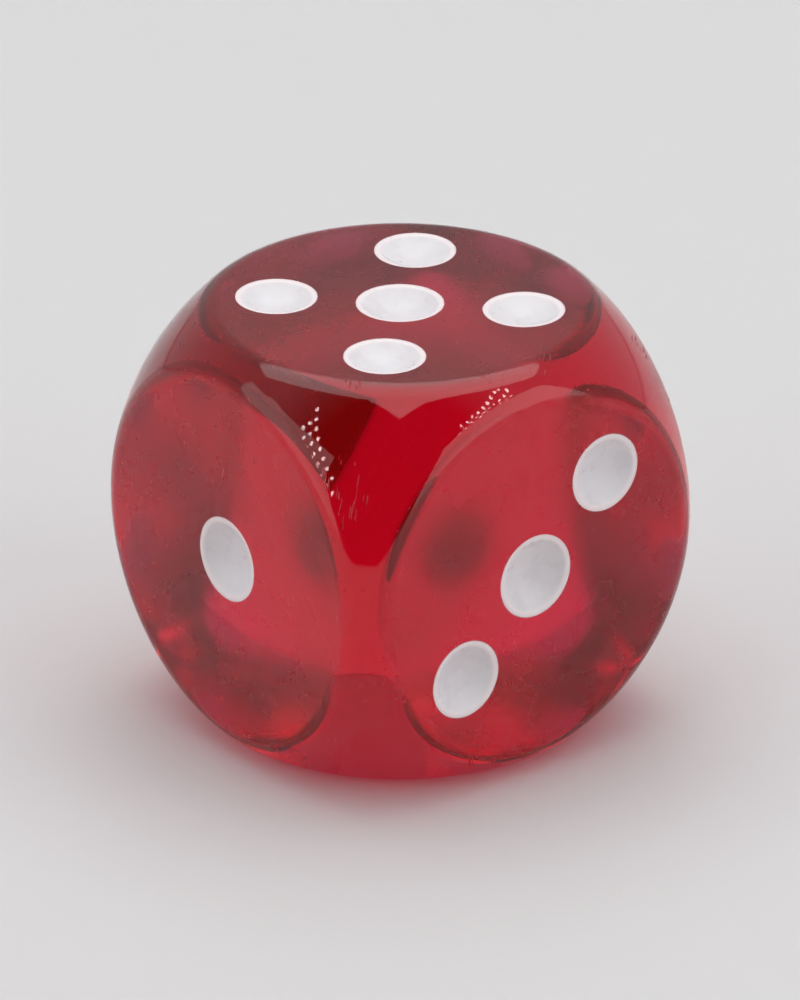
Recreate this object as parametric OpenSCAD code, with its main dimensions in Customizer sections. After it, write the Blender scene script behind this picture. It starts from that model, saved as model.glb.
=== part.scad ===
// Six-sided game die: a clear red plastic block, rounded to a ball at its edges and corners,
// with dimples that are filled with white paint.
// The die stands on its 2, with the 5 up. The 1 faces -Y and the 3 faces +X.
// The origin is the middle of the face that it stands on.

/* [Block] */
// Distance between opposite flat faces
die_size = 12; // [10:0.5:19]
// Diameter of the ball that rounds the edges and corners, as a share of die_size
ball_share = 1.335; // [1.3:0.005:1.4]

/* [Dimples] */
// Diameter of the ball-ended cutter that shapes a dimple, as a share of die_size
cutter_share = 0.283; // [0.27:0.001:0.3]
// Depth of a dimple at the middle of a face, as a share of die_size
dimple_depth_share = 0.042; // [0.03:0.001:0.045]
// How much shallower a dimple gets towards the rim, where polishing wears a face the most
rim_wear = 0.08; // [0:0.01:0.12]
// Distance of a corner dimple from the middle of its face along each edge, as a share of die_size
corner_dimple_share = 0.201; // [0.18:0.001:0.21]
// Distance of the outer dimples of the 6 from the middle, along their row, as a share of die_size
six_row_share = 0.252; // [0.24:0.001:0.26]
// Distance of each row of the 6 from the middle, as a share of die_size
six_gap_share = 0.196; // [0.18:0.001:0.2]

/* [Paint] */
// Width of the flush ring of paint round each dish, as a share of die_size
paint_rim_share = 0.011; // [0.006:0.001:0.014]
// Depth of the dish in the paint, as a share of its dimple's depth
dish_share = 0.75; // [0.3:0.05:0.8]

/* [Hidden] */
FACE_WORDS = ["one", "two", "three", "four", "five", "six"];
$fn = 96;

ball_d = die_size * ball_share;
cutter_r = die_size * cutter_share / 2;
dimple_depth = die_size * dimple_depth_share;
corner_dimple = die_size * corner_dimple_share;
six_row = die_size * six_row_share;
six_gap = die_size * six_gap_share;
paint_rim = die_size * paint_rim_share;

// Turns that bring the top of the die to each face, in the order of the face's number
FACE_TURNS = [[90, 0, 0], [180, 0, 0], [0, 90, 0], [0, -90, 0], [0, 0, 0], [-90, 0, 0]];

MIDDLE = [[0, 0]];
FALLING_PAIR = [[-corner_dimple, corner_dimple], [corner_dimple, -corner_dimple]];
RISING_PAIR = [[-corner_dimple, -corner_dimple], [corner_dimple, corner_dimple]];
TWO_ROWS = [for (side = [-1, 1], step = [-1:1]) [step * six_row, side * six_gap]];

// The middles of a face's dimples, in that face's own plane
SPOTS = [
    MIDDLE,
    FALLING_PAIR,
    concat(MIDDLE, FALLING_PAIR),
    concat(FALLING_PAIR, RISING_PAIR),
    concat(MIDDLE, FALLING_PAIR, RISING_PAIR),
    TWO_ROWS
];

function pip_name(face, spot) = str(FACE_WORDS[face - 1], "_pip_", spot);
function spot_place(face, spot) = SPOTS[face - 1][spot - 1];

// Depth of a dimple whose middle is this far from the middle of its face
function depth_at(distance) = dimple_depth - rim_wear * distance * distance / die_size;

// Radius of the ring where a ball of this radius, sunk to this depth, meets a flat face
function ring_r(ball_r, depth) = sqrt(depth * (2 * ball_r - depth));

// Radius of the ball that cuts a dish of this depth inside a ring of this radius
function dish_ball_r(ring, depth) = (ring * ring + depth * depth) / (2 * depth);

// Moves its children from the middle of the top face to a spot on any face, outside up
module at_spot(face, spot) {
    translate([0, 0, die_size / 2])
        rotate(FACE_TURNS[face - 1])
            translate([0, 0, die_size / 2])
                translate(spot_place(face, spot))
                    children();
}

// Ball that cuts a dimple of the given depth into a flat face at z = 0
module cutter(depth) {
    translate([0, 0, cutter_r - depth])
        sphere(r = cutter_r);
}

// White paint that lines one dimple: flush with the face at its ring and dished inside it
module paint(depth) {
    dish_ring = ring_r(cutter_r, depth) - paint_rim;
    dish_depth = depth * dish_share;
    dish_r = dish_ball_r(dish_ring, dish_depth);
    difference() {
        cutter(depth);
        translate([-cutter_r, -cutter_r, 0])
            cube(2 * cutter_r);
        translate([0, 0, dish_r - dish_depth])
            sphere(r = dish_r);
    }
}

// Clear red block: a cube inside a ball, with a dimple at every spot
module body() {
    color([0.72, 0.03, 0.08, 0.75])
        difference() {
            translate([0, 0, die_size / 2])
                intersection() {
                    cube(die_size, center = true);
                    sphere(d = ball_d);
                }
            for (face = [1:6], spot = [1:face])
                at_spot(face, spot)
                    cutter(depth_at(norm(spot_place(face, spot))));
        }
}

// Paint in one dimple of a face
module pip(face, spot) {
    color([0.93, 0.92, 0.92])
        at_spot(face, spot)
            paint(depth_at(norm(spot_place(face, spot))));
}

body();
for (face = [1:6], spot = [1:face])
    pip(face, spot);
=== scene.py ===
import math

import bmesh
import bpy
from mathutils import Matrix, Quaternion, Vector


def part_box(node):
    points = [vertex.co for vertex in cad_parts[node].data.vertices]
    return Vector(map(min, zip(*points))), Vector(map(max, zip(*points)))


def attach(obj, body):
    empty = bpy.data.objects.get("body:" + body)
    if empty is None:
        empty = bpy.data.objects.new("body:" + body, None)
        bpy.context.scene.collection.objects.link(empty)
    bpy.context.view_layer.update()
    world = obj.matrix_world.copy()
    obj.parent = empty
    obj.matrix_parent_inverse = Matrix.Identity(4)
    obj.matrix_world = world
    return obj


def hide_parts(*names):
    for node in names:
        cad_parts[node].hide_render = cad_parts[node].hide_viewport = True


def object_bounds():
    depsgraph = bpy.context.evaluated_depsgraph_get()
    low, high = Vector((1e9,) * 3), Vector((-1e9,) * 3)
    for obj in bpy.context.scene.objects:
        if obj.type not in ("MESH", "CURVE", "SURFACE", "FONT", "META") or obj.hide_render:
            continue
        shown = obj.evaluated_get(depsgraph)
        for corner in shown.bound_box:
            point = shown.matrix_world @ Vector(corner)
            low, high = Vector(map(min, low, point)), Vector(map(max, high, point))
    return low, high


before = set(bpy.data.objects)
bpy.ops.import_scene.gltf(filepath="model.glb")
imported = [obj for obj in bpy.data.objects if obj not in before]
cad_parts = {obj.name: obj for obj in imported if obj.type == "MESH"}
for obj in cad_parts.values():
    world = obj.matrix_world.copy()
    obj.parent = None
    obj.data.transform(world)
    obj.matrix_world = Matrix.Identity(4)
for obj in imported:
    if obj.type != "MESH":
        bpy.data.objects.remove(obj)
cad_low, cad_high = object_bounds()

MM = 0.001

# ---------------------------------------------------------------- sizes of the die, from the frame

DIE_MIDDLE = (cad_low + cad_high) / 2
HALF_SIZE = (cad_high.z - cad_low.z) / 2 / MM

# Radius of the ball that the corners are rounded to, and of the soft roll at each flat's rim, in mm
BALL_RADIUS = 8.01
RIM_ROLL = 0.9

# Middle of the roll's arc, above the die's middle plane and out from the face's own middle
ROLL_HEIGHT = HALF_SIZE - RIM_ROLL
ROLL_REACH = math.sqrt((BALL_RADIUS - RIM_ROLL) ** 2 - ROLL_HEIGHT ** 2)

# Distance from the middle of the die to the edge of a flat, where the roll begins
FLAT_EDGE = math.hypot(HALF_SIZE, ROLL_REACH)

# The paint reaches a hair into the plastic, so that no air is left behind it, and stays just under the face
PAINT_BITE = 0.012
PAINT_SINK = 0.006

# Widths of the flush ring of paint and of the soft lip inside it, and the dish's share of the dimple's depth
PAINT_RIM = 0.132
PAINT_LIP = 0.06
DISH_SHARE = 0.75

# Closer together than this, in mm, two points, heights or rings are the same one
SAME = 0.001

# Points of the block this close, in mm, are merged, so that the cuts leave no slivers
SLIVER = 0.012

# How finely the round shapes are cut
BALL_CUTS = 7
RIM_STEPS = 8
SPIN_STEPS = 64
DIMPLE_STEPS = 16

PIP_NODES = sorted(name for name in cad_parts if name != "body")


# ---------------------------------------------------------------- camera

# Azimuth 0 looks along +Y and 90 along -X, in degrees
VIEW_AZIMUTH = 52
VIEW_ELEVATION = 26
CAMERA_DISTANCE = 480 * MM
VIEW_HEIGHT = 27.5 * MM
SENSOR = 36.0


def direction(azimuth, elevation):
    """Way from the die to something seen at this azimuth and elevation."""
    a = math.radians(azimuth)
    e = math.radians(elevation)
    return Vector((math.sin(a) * math.cos(e), -math.cos(a) * math.cos(e), math.sin(e)))


def aim(thing, way, distance):
    """Puts a camera or light this far from the die and turns it to face the die."""
    bpy.context.scene.collection.objects.link(thing)
    thing.location = DIE_MIDDLE + way * distance
    thing.rotation_mode = "QUATERNION"
    thing.rotation_quaternion = (-way).to_track_quat("-Z", "Y")


def make_camera():
    """Long lens, a little above the die and in front of the edge between the 1 and the 3."""
    data = bpy.data.cameras.new("camera")
    data.sensor_width = SENSOR
    data.lens = SENSOR * CAMERA_DISTANCE / VIEW_HEIGHT
    data.clip_start = 10 * MM
    camera = bpy.data.objects.new("camera", data)
    aim(camera, direction(VIEW_AZIMUTH, VIEW_ELEVATION), CAMERA_DISTANCE)
    bpy.context.scene.camera = camera


make_camera()


# ---------------------------------------------------------------- colours and nodes

def srgb(code):
    """Linear colour of an sRGB hex code such as C8102E."""
    parts = [int(code[i:i + 2], 16) / 255 for i in (0, 2, 4)]
    linear = [p / 12.92 if p <= 0.04045 else ((p + 0.055) / 1.055) ** 2.4 for p in parts]
    return (*linear, 1.0)


def add(tree, kind, inputs=None, **settings):
    """Adds a node. Settings are its properties; inputs maps sockets to values or to other nodes' outputs."""
    node = tree.nodes.new(kind)
    for name, value in settings.items():
        setattr(node, name, value)
    for socket, value in (inputs or {}).items():
        if isinstance(value, bpy.types.NodeSocket):
            tree.links.new(value, node.inputs[socket])
        else:
            node.inputs[socket].default_value = value
    return node


def new_material(name):
    material = bpy.data.materials.new(name)
    material.use_nodes = True
    material.node_tree.nodes.clear()
    return material, material.node_tree


# ---------------------------------------------------------------- materials

# Sizes of the broad patterns, in mm: waves in the gloss, haze on the flats, mottle in the paint and
# the clumps of fibre in the board
WAVE_SIZE = 3.0
HAZE_SIZE = 1.6
MOTTLE_SIZE = 0.7
FIBRE_SIZE = 2 / 3

# Sizes of the marks, in mm. Real hairlines are nearer a hundredth wide, and real pits, nicks and pinholes
# a few hundredths. That is too fine to show in the render, so they are drawn as coarse as they need to be
HAIRLINE_WIDTH = 0.030
HAIRLINE_LENGTH = 0.6
HAIRLINE_PATCH = 2.3
NICK_SIZE = 0.14
NICK_STRETCH = 1.7
PIT_SPACING = 1.1
PINHOLE_SPACING = 0.8

# Turn of the hairlines about X, Y and Z, in radians
HAIRLINE_TURN = (0.1, 0.15, 0.9)

# Distances from the die's middle, in mm, over which the nicked rim fades in and out again
RIM_FADES_IN = (FLAT_EDGE - 0.06, FLAT_EDGE + 0.04)
RIM_FADES_OUT = (BALL_RADIUS - 0.04, BALL_RADIUS - 0.01)

# Distances over which the haze of the flats fades out, so that the ball keeps its gloss
HAZE_FADES_OUT = (FLAT_EDGE - 0.02, BALL_RADIUS - 0.02)


def patches(tree, place, size, low, high):
    """Patches about this many mm across: 0 where the noise is under low, and 1 where it is over high."""
    noise = add(tree, "ShaderNodeTexNoise", {"Vector": place, "Scale": 1 / (size * MM), "Detail": 1.0})
    edge = add(
        tree, "ShaderNodeMapRange",
        {"Value": noise.outputs["Fac"], "From Min": low, "From Max": high},
    )
    return edge.outputs["Result"]


def hairlines(tree, place):
    """Fine straight scratches, all one way, in scattered patches; a line is half of a stretched blob."""
    blob = (2 * HAIRLINE_WIDTH * MM, HAIRLINE_LENGTH * MM, HAIRLINE_LENGTH * MM)
    stretched = add(
        tree, "ShaderNodeMapping", {"Vector": place, "Rotation": HAIRLINE_TURN, "Scale": blob},
        vector_type="TEXTURE",
    )
    streak = add(
        tree, "ShaderNodeTexNoise",
        {"Vector": stretched.outputs["Vector"], "Scale": 1.0, "Detail": 0.0},
    )
    line = add(
        tree, "ShaderNodeMapRange",
        {"Value": streak.outputs["Fac"], "From Min": 0.70, "From Max": 0.76},
    )
    marks = add(
        tree, "ShaderNodeMath",
        {0: line.outputs["Result"], 1: patches(tree, place, HAIRLINE_PATCH, 0.60, 0.68)},
        operation="MULTIPLY",
    )
    return marks.outputs["Value"]


def pits(tree, place):
    """Tiny knocks, about one to a millimetre, each under 0.1 mm across."""
    cells = add(tree, "ShaderNodeTexVoronoi", {"Vector": place, "Scale": 1 / (PIT_SPACING * MM)})
    pit = add(
        tree, "ShaderNodeMapRange",
        {
            "Value": cells.outputs["Distance"], "From Min": 0.015, "From Max": 0.04,
            "To Min": 0.6, "To Max": 0.0,
        },
    )
    return pit.outputs["Result"]


def rim_nicks(tree, place, far):
    """Nicks along stretches of the flats' rims, where dice knock together."""
    inside = add(
        tree, "ShaderNodeMapRange",
        {"Value": far, "From Min": RIM_FADES_IN[0] * MM, "From Max": RIM_FADES_IN[1] * MM},
    )
    outside = add(
        tree, "ShaderNodeMapRange",
        {"Value": far, "From Min": RIM_FADES_OUT[0] * MM, "From Max": RIM_FADES_OUT[1] * MM},
    )
    rim = add(
        tree, "ShaderNodeMath",
        {0: inside.outputs["Result"], 1: outside.outputs["Result"]}, operation="SUBTRACT",
    )
    on_rim = add(
        tree, "ShaderNodeMath",
        {0: patches(tree, place, NICK_SIZE, 0.68, 0.74), 1: rim.outputs["Value"]},
        operation="MULTIPLY",
    )
    stretches = add(
        tree, "ShaderNodeMath",
        {0: on_rim.outputs["Value"], 1: patches(tree, place, NICK_STRETCH, 0.52, 0.60)},
        operation="MULTIPLY",
    )
    return stretches.outputs["Value"]


def clear_red_acrylic():
    """Acrylic dyed red all through: deep colour where the light's path is long, hazy on the sanded flats."""
    material, tree = new_material("clear_red_acrylic")
    place = add(tree, "ShaderNodeTexCoord").outputs["Object"]
    centred = add(tree, "ShaderNodeVectorMath", {0: place, 1: DIE_MIDDLE}, operation="SUBTRACT")
    far = add(tree, "ShaderNodeVectorMath", {0: centred.outputs["Vector"]}, operation="LENGTH")
    far = far.outputs["Value"]

    # Handling marks
    scratched = add(
        tree, "ShaderNodeMath",
        {0: hairlines(tree, place), 1: pits(tree, place)}, operation="MAXIMUM",
    )
    wear = add(
        tree, "ShaderNodeMath",
        {0: scratched.outputs["Value"], 1: rim_nicks(tree, place, far)}, operation="MAXIMUM",
    )

    # The flats were sanded flush with the paint; their haze varies, and fades out on the roll at the rim
    sanding = add(
        tree, "ShaderNodeTexNoise", {"Vector": place, "Scale": 1 / (HAZE_SIZE * MM), "Detail": 4.0},
    )
    haze = add(
        tree, "ShaderNodeMapRange",
        {
            "Value": sanding.outputs["Fac"], "From Min": 0.3, "From Max": 0.7,
            "To Min": 0.20, "To Max": 0.30,
        },
    )
    flat = add(
        tree, "ShaderNodeMapRange",
        {
            "Value": far, "From Min": HAZE_FADES_OUT[0] * MM, "From Max": HAZE_FADES_OUT[1] * MM,
            "To Min": 1.0, "To Max": 0.0,
        },
    )
    flat_rough = add(
        tree, "ShaderNodeMath",
        {0: flat.outputs["Result"], 1: haze.outputs["Result"]}, operation="MULTIPLY",
    )
    worn_rough = add(tree, "ShaderNodeMath", {0: wear.outputs["Value"], 1: 0.5}, operation="MULTIPLY")
    rougher = add(
        tree, "ShaderNodeMath",
        {0: flat_rough.outputs["Value"], 1: worn_rough.outputs["Value"]}, operation="MAXIMUM",
    )
    rough = add(tree, "ShaderNodeMath", {0: rougher.outputs["Value"], 1: 0.02}, operation="ADD")

    # Tumbling leaves the gloss a little wavy, and the marks are cut into it
    waves = add(
        tree, "ShaderNodeTexNoise", {"Vector": place, "Scale": 1 / (WAVE_SIZE * MM), "Detail": 1.0},
    )
    wavy = add(
        tree, "ShaderNodeBump",
        {"Height": waves.outputs["Fac"], "Strength": 1.0, "Distance": 0.004 * MM},
    )
    marked = add(
        tree, "ShaderNodeBump",
        {
            "Height": wear.outputs["Value"], "Normal": wavy.outputs["Normal"],
            "Strength": 1.0, "Distance": 0.012 * MM,
        },
        invert=True,
    )
    shader = add(
        tree, "ShaderNodeBsdfPrincipled",
        {
            "Base Color": srgb("FFF4F4"), "Roughness": rough.outputs["Value"],
            "Normal": marked.outputs["Normal"], "IOR": 1.49, "Transmission Weight": 1.0,
        },
    )

    # The dye takes out green fastest, then blue, and hardly any red; its density is per metre
    dye = add(tree, "ShaderNodeVolumeAbsorption", {"Color": srgb("F838B4"), "Density": 500.0})
    add(
        tree, "ShaderNodeOutputMaterial",
        {"Surface": shader.outputs["BSDF"], "Volume": dye.outputs["Volume"]},
    )
    return material


def white_enamel():
    """White enamel dried in its dimple: satin, a little uneven, thin enough to let some light through."""
    material, tree = new_material("white_enamel")
    place = add(tree, "ShaderNodeTexCoord").outputs["Object"]
    mottle = add(
        tree, "ShaderNodeTexNoise", {"Vector": place, "Scale": 1 / (MOTTLE_SIZE * MM), "Detail": 4.0},
    )
    # Random mottle in the dish's paint, on the whole a shade under the ring's white: painted shade in the
    # hollow
    dish = add(
        tree, "ShaderNodeMix",
        {"Factor": mottle.outputs["Fac"], "A": srgb("E6E4E8"), "B": srgb("FAFCFE")}, data_type="RGBA",
    )

    # The flush ring is the thinnest paint, polished flush, with a breath of the red plastic under it; the
    # dish inside it is painted a little greyer and cooler, painted shade in the hollow
    ring = add(tree, "ShaderNodeAttribute", attribute_name="flush_ring")
    colour = add(
        tree, "ShaderNodeMix",
        {"Factor": ring.outputs["Fac"], "A": dish.outputs["Result"], "B": srgb("FFF6F7")},
        data_type="RGBA",
    )

    # A few pinholes where bubbles dried in the coat
    bubble = add(tree, "ShaderNodeTexVoronoi", {"Vector": place, "Scale": 1 / (PINHOLE_SPACING * MM)})
    pinhole = add(
        tree, "ShaderNodeMapRange",
        {
            "Value": bubble.outputs["Distance"], "From Min": 0.02, "From Max": 0.06,
            "To Min": 1.0, "To Max": 0.0,
        },
    )
    height = add(
        tree, "ShaderNodeMath",
        {0: mottle.outputs["Fac"], 1: pinhole.outputs["Result"]}, operation="SUBTRACT",
    )
    bump = add(
        tree, "ShaderNodeBump",
        {"Height": height.outputs["Value"], "Strength": 1.0, "Distance": 0.012 * MM},
    )
    rough = add(
        tree, "ShaderNodeMapRange",
        {
            "Value": mottle.outputs["Fac"], "From Min": 0.3, "From Max": 0.7,
            "To Min": 0.22, "To Max": 0.38,
        },
    )
    shader = add(
        tree, "ShaderNodeBsdfPrincipled",
        {
            "Base Color": colour.outputs["Result"], "Roughness": rough.outputs["Result"],
            "Normal": bump.outputs["Normal"], "IOR": 1.48,
        },
    )
    through = add(tree, "ShaderNodeBsdfTranslucent", {"Color": srgb("FFFFFF")})
    coat = add(
        tree, "ShaderNodeMixShader",
        {"Fac": 0.25, 1: shader.outputs["BSDF"], 2: through.outputs["BSDF"]},
    )
    add(tree, "ShaderNodeOutputMaterial", {"Surface": coat.outputs["Shader"]})
    return material


def pale_board():
    """Matt off-white board; light spreads a few mm inside it and softens the foot of the shadow."""
    material, tree = new_material("pale_board")
    place = add(tree, "ShaderNodeTexCoord").outputs["Object"]
    fibre = add(
        tree, "ShaderNodeTexNoise", {"Vector": place, "Scale": 1 / (FIBRE_SIZE * MM), "Detail": 4.0},
    )
    bump = add(
        tree, "ShaderNodeBump",
        {"Height": fibre.outputs["Fac"], "Strength": 0.1, "Distance": 0.01 * MM},
    )
    shader = add(
        tree, "ShaderNodeBsdfPrincipled",
        {
            "Base Color": srgb("C9C8C8"), "Roughness": 0.7, "Normal": bump.outputs["Normal"],
            "Subsurface Weight": 1.0, "Subsurface Radius": (1.0, 1.0, 1.0),
            "Subsurface Scale": 5 * MM,
        },
    )
    add(tree, "ShaderNodeOutputMaterial", {"Surface": shader.outputs["BSDF"]})
    return material


# ---------------------------------------------------------------- spots, from the CAD pips

def read_spot(node):
    """The middle of a pip on its face, the face's outward direction, and the dimple's sizes, in mm."""
    low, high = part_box(node)
    size = high - low
    axis = min(range(3), key=lambda i: size[i])
    middle = (low + high) / 2 - DIE_MIDDLE
    side = math.copysign(1.0, middle[axis])
    outward = Vector((0, 0, 0))
    outward[axis] = side
    middle[axis] = side * HALF_SIZE * MM
    ring = (sum(size) - size[axis]) / 4 / MM
    depth = size[axis] / MM
    return {"middle": middle / MM, "outward": outward, "ring": ring, "depth": depth}


SPOTS = {node: read_spot(node) for node in PIP_NODES}


def ball_radius(ring, depth):
    """Radius of the ball whose cap has this ring radius and depth."""
    return (ring * ring + depth * depth) / (2 * depth)


# ---------------------------------------------------------------- shapes

def arc(centre_height, radius, start, end, steps):
    """Points of an arc in the XZ plane round a centre on the Z axis, angles from straight down."""
    points = []
    for step in range(steps + 1):
        angle = start + (end - start) * step / steps
        points.append(Vector((radius * math.sin(angle), 0, centre_height - radius * math.cos(angle))))
    return points


def spin_profile(profile):
    """Spins a line of points a full turn about the Z axis, as a bmesh of its own."""
    bm = bmesh.new()
    verts = [bm.verts.new(point) for point in profile]
    edges = [bm.edges.new(pair) for pair in zip(verts, verts[1:])]
    bmesh.ops.spin(
        bm, geom=verts + edges, cent=(0, 0, 0), axis=(0, 0, 1), angle=2 * math.pi,
        steps=SPIN_STEPS, use_merge=True,
    )
    bmesh.ops.remove_doubles(bm, verts=bm.verts[:], dist=SAME)
    return bm


def turn_to(outward):
    """Turn that brings +Z to a face's outward direction."""
    return outward.to_track_quat("Z", "Y").to_matrix().to_4x4()


def place_of(spot):
    """Where a shape made round the Z axis goes, so that Z = 0 is the face and +Z is outward."""
    return Matrix.Translation(spot["middle"]) @ turn_to(spot["outward"])


# ---------------------------------------------------------------- the clear block

FACES = [Vector(axis) * side for axis in ((1, 0, 0), (0, 1, 0), (0, 0, 1)) for side in (1, -1)]


def open_edges(bm, outward, height):
    """Edges of an open loop that lies at this height along a face's outward direction."""
    return [
        edge for edge in bm.edges
        if edge.is_boundary and all(abs(v.co.dot(outward) - height) < SAME for v in edge.verts)
    ]


def roll_rim(bm, outward):
    """Cuts the ball off for one face and rolls its rim over to the flat, an arc of RIM_ROLL."""
    full_turn = math.atan2(ROLL_REACH, ROLL_HEIGHT)
    height = ROLL_HEIGHT + RIM_ROLL * math.cos(full_turn)
    reach = ROLL_REACH + RIM_ROLL * math.sin(full_turn)
    bmesh.ops.bisect_plane(
        bm, geom=bm.verts[:] + bm.edges[:] + bm.faces[:],
        plane_co=outward * height, plane_no=outward, clear_outer=True,
    )
    loop = open_edges(bm, outward, height)
    turn = turn_to(outward)
    for step in range(1, RIM_STEPS + 1):
        angle = full_turn * (1 - step / RIM_STEPS)
        next_height = ROLL_HEIGHT + RIM_ROLL * math.cos(angle)
        next_reach = ROLL_REACH + RIM_ROLL * math.sin(angle)
        made = bmesh.ops.extrude_edge_only(bm, edges=loop)["geom"]
        verts = [g for g in made if isinstance(g, bmesh.types.BMVert)]
        loop = [g for g in made if isinstance(g, bmesh.types.BMEdge) and g.is_boundary]
        grow = next_reach / reach
        bmesh.ops.scale(bm, vec=(grow, grow, 1), space=turn.inverted(), verts=verts)
        bmesh.ops.translate(bm, vec=outward * (next_height - height), verts=verts)
        height = next_height
        reach = next_reach


def sink_dimple(bm, spot):
    """Adds the hollow of one dimple, an arc spun about the middle of its spot."""
    radius = ball_radius(spot["ring"], spot["depth"])
    rim_angle = math.asin(spot["ring"] / radius)
    hollow = spin_profile(arc(radius - spot["depth"], radius, 0, rim_angle, DIMPLE_STEPS))
    bmesh.ops.transform(hollow, matrix=place_of(spot), verts=hollow.verts[:])
    mesh = bpy.data.meshes.new("hollow")
    hollow.to_mesh(mesh)
    hollow.free()
    bm.from_mesh(mesh)
    bpy.data.meshes.remove(mesh)


def make_block(material):
    bm = bmesh.new()
    bmesh.ops.create_icosphere(bm, subdivisions=BALL_CUTS, radius=BALL_RADIUS)
    for outward in FACES:
        roll_rim(bm, outward)
    bmesh.ops.remove_doubles(bm, verts=bm.verts[:], dist=SLIVER)
    for spot in SPOTS.values():
        sink_dimple(bm, spot)
    for outward in FACES:
        edges = open_edges(bm, outward, HALF_SIZE)
        bmesh.ops.triangle_fill(bm, edges=edges, use_beauty=True, normal=outward)
    bmesh.ops.recalc_face_normals(bm, faces=bm.faces[:])
    return finish_mesh(bm, "clear_block", material, sharp_angle=30)


def finish_mesh(bm, name, material, sharp_angle):
    """Puts a shape worked in mm round the die's middle into the frame, in metres."""
    bmesh.ops.scale(bm, vec=(MM, MM, MM), verts=bm.verts[:])
    bmesh.ops.translate(bm, vec=DIE_MIDDLE, verts=bm.verts[:])
    mesh = bpy.data.meshes.new(name)
    bm.to_mesh(mesh)
    bm.free()
    mesh.materials.append(material)
    mesh.shade_smooth()
    mesh.set_sharp_from_angle(angle=math.radians(sharp_angle))
    piece = bpy.data.objects.new(name, mesh)
    bpy.context.scene.collection.objects.link(piece)
    weights = piece.modifiers.new("flat_faces_stay_flat", "WEIGHTED_NORMAL")
    weights.keep_sharp = True
    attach(piece, "root")
    return piece


# ---------------------------------------------------------------- the paint

def make_paint(node, material):
    spot = SPOTS[node]
    cutter = ball_radius(spot["ring"], spot["depth"])
    back_radius = cutter + PAINT_BITE
    back_centre = cutter - spot["depth"]
    rim_angle = math.acos((back_centre + PAINT_SINK) / back_radius)
    back = arc(back_centre, back_radius, 0, rim_angle, DIMPLE_STEPS)

    dish_ring = spot["ring"] - PAINT_RIM
    dish_depth = spot["depth"] * DISH_SHARE
    dish_radius = ball_radius(dish_ring, dish_depth)
    dish_angle = math.asin(dish_ring / dish_radius)
    dish = arc(dish_radius - dish_depth - PAINT_SINK, dish_radius, dish_angle, 0, DIMPLE_STEPS)

    bm = spin_profile(back + dish)
    lip = [
        edge for edge in bm.edges
        if all(
            abs(v.co.to_2d().length - dish_ring) < SAME and abs(v.co.z + PAINT_SINK) < SAME
            for v in edge.verts
        )
    ]
    bmesh.ops.bevel(
        bm, geom=lip, offset=PAINT_LIP, offset_type="OFFSET", affect="EDGES", segments=4,
        profile=0.5, material=-1,
    )
    bmesh.ops.recalc_face_normals(bm, faces=bm.faces[:])

    # Mask of the flush ring, fading out over the lip; inside it the dish keeps its painted shade
    ring = bm.verts.layers.float.new("flush_ring")
    for vert in bm.verts:
        vert[ring] = min(max((vert.co.to_2d().length - dish_ring + PAINT_LIP) / PAINT_LIP, 0.0), 1.0)
    bmesh.ops.transform(bm, matrix=place_of(spot), verts=bm.verts[:])
    return finish_mesh(bm, "paint_" + node, material, sharp_angle=40)


# ---------------------------------------------------------------- building the die

acrylic = clear_red_acrylic()
enamel = white_enamel()

block = make_block(acrylic)
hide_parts("body")
for pip_node in PIP_NODES:
    paint = make_paint(pip_node, enamel)
    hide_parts(pip_node)


# ---------------------------------------------------------------- floor and light

# A hair of air under the die keeps its foot and the board apart
FLOOR_GAP = 0.01 * MM

# The board reaches this far from the die each way, and all lights stand this far from it, in metres
FLOOR_REACH = 3.0
LIGHT_DISTANCE = 0.5

# A bare lamp's width and height in metres and its power in watts, and the gap between rows in degrees
LAMP_WIDTH = 0.010
LAMP_HEIGHT = 0.013
LAMP_WATTS = 0.0055
LAMP_ROW_GAP = 4

# The dark wall: its middle's elevation, and how far round from there it starts and stops fading, in degrees
WALL_ELEVATION = 30
WALL_FADES_FROM = 38
WALL_FADES_OUT = 62


def make_floor():
    bm = bmesh.new()
    bmesh.ops.create_grid(bm, x_segments=1, y_segments=1, size=FLOOR_REACH)
    mesh = bpy.data.meshes.new("floor")
    bm.to_mesh(mesh)
    bm.free()
    mesh.materials.append(pale_board())
    floor = bpy.data.objects.new("floor", mesh)
    bpy.context.scene.collection.objects.link(floor)
    floor.location.z = cad_low.z - FLOOR_GAP


def add_light(name, turn, elevation, width, height, watts, roll=0):
    """Area light that faces the die; turn is its azimuth from the camera's, to the right, in degrees."""
    data = bpy.data.lights.new(name, "AREA")
    data.shape = "RECTANGLE"
    data.size = width
    data.size_y = height
    data.energy = watts
    light = bpy.data.objects.new(name, data)
    aim(light, direction(VIEW_AZIMUTH + turn, elevation), LIGHT_DISTANCE)
    light.rotation_quaternion @= Quaternion((0, 0, 1), math.radians(roll))


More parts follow.
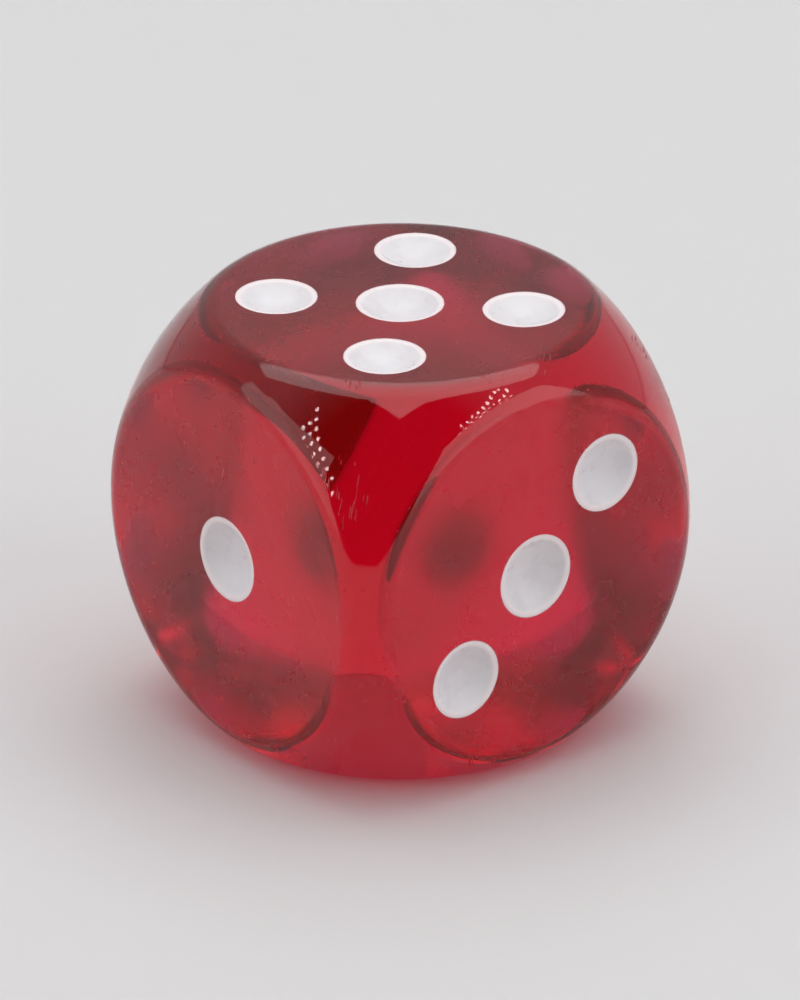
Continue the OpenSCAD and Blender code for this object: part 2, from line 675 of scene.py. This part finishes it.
def add_lamps(start, end, rows, columns):
    """Bank of bare lamps from one turn and elevation to another; their glints sparkle on the corners."""
    for row in range(rows):
        for column in range(columns):
            # Every other row is shifted by half a gap
            share = (column + 0.5 * (row % 2)) / columns
            turn = start[0] + (end[0] - start[0]) * share
            elevation = start[1] + (end[1] - start[1]) * share + row * LAMP_ROW_GAP
            add_light("lamp", turn, elevation, LAMP_WIDTH, LAMP_HEIGHT, LAMP_WATTS)


def make_world(strength, front_strength):
    """Even pale surroundings, with a dark wall on the side that the die is seen from."""
    world = bpy.data.worlds.new("studio")
    world.use_nodes = True
    tree = world.node_tree
    way = add(tree, "ShaderNodeTexCoord").outputs["Generated"]
    facing = add(
        tree, "ShaderNodeVectorMath",
        {0: way, 1: direction(VIEW_AZIMUTH, WALL_ELEVATION)}, operation="DOT_PRODUCT",
    )
    wall = add(
        tree, "ShaderNodeMapRange",
        {
            "Value": facing.outputs["Value"],
            "From Min": math.cos(math.radians(WALL_FADES_OUT)),
            "From Max": math.cos(math.radians(WALL_FADES_FROM)),
            "To Min": strength, "To Max": front_strength,
        },
    )
    background = tree.nodes["Background"]
    background.inputs["Color"].default_value = srgb("F1F1F4")
    tree.links.new(wall.outputs["Result"], background.inputs["Strength"])
    bpy.context.scene.world = world


# Soft boxes light the die from both sides and from above and behind, and the front stays dark
make_floor()
make_world(strength=0.60, front_strength=0.04)
add_light("softbox_left", turn=-66, elevation=22, width=0.5, height=0.4, watts=0.66)
add_light("softbox_right", turn=60, elevation=22, width=0.5, height=0.4, watts=0.85)
add_light("softbox_above", turn=180, elevation=80, width=0.64, height=0.64, watts=2.20, roll=45)
add_lamps(start=(-56, 44), end=(-28, 20), rows=3, columns=8)
add_lamps(start=(38, 42), end=(80, 47), rows=3, columns=9)

bpy.context.scene.view_settings.view_transform = "Standard"

# Light turns back many times inside a clear block before it finds its way out
bpy.context.scene.cycles.max_bounces = 24
bpy.context.scene.cycles.glossy_bounces = 16
bpy.context.scene.cycles.transmission_bounces = 24
